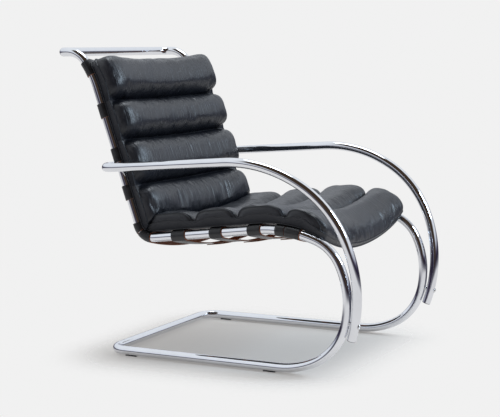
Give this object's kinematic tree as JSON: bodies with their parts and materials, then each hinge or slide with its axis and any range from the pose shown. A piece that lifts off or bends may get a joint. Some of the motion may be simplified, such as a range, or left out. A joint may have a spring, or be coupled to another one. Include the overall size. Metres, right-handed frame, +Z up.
{
  "type": "cantilever lounge chair",
  "caption": "Cantilever lounge chair: bent chromed tube frame with arm tubes, leather straps looped round the rails, and a channelled black leather pad.",
  "frame": {"origin": "on the floor, under the centre of the chair's bounding box", "axes": "+Z up; the sitter faces -Y; +X is the sitter's left"},
  "size_m": [0.6264, 0.9067, 0.84],
  "materials": {
    "chrome_tube": "bright polished chrome plate on steel tube",
    "inner_steel": "plain turned steel, hidden inside the tubes",
    "polished_steel": "polished steel fixings and buckles",
    "black_plastic": "moulded black plastic",
    "strap_leather": "firm black saddle leather, tan on its flesh side and cut edges",
    "pad_leather": "soft semi-gloss black leather with fine creases",
    "pad_filling": "soft foam and wadding, hidden inside the covers"
  },
  "bodies": {
    "root": {"frame_tube_left": "chrome_tube", "frame_tube_right": "chrome_tube", "arm_tube_left": "chrome_tube", "arm_tube_right": "chrome_tube", "floor_bar_ferrule": "inner_steel", "top_bar_ferrule": "inner_steel", "arm_bar_ferrule": "inner_steel", "front_arm_spacers": "polished_steel", "rear_arm_spacers": "polished_steel", "front_arm_screws": "polished_steel", "rear_arm_screws": "polished_steel", "arm_end_plugs": "black_plastic", "floor_glides": "black_plastic", "seat_strap_1": "strap_leather", "seat_strap_2": "strap_leather", "seat_strap_3": "strap_leather", "seat_strap_4": "strap_leather", "seat_strap_5": "strap_leather", "seat_strap_6": "strap_leather", "back_strap_1": "strap_leather", "back_strap_2": "strap_leather", "back_strap_3": "strap_leather", "back_strap_4": "strap_leather", "back_strap_5": "strap_leather", "seat_strap_buckles": "polished_steel", "seat_strap_tongues": "strap_leather", "seat_pad_cover": "pad_leather", "seat_pad_filling": "pad_filling", "back_strap_buckles": "polished_steel", "back_strap_tongues": "strap_leather", "back_pad_cover": "pad_leather", "back_pad_filling": "pad_filling"}
  },
  "joints": []
}
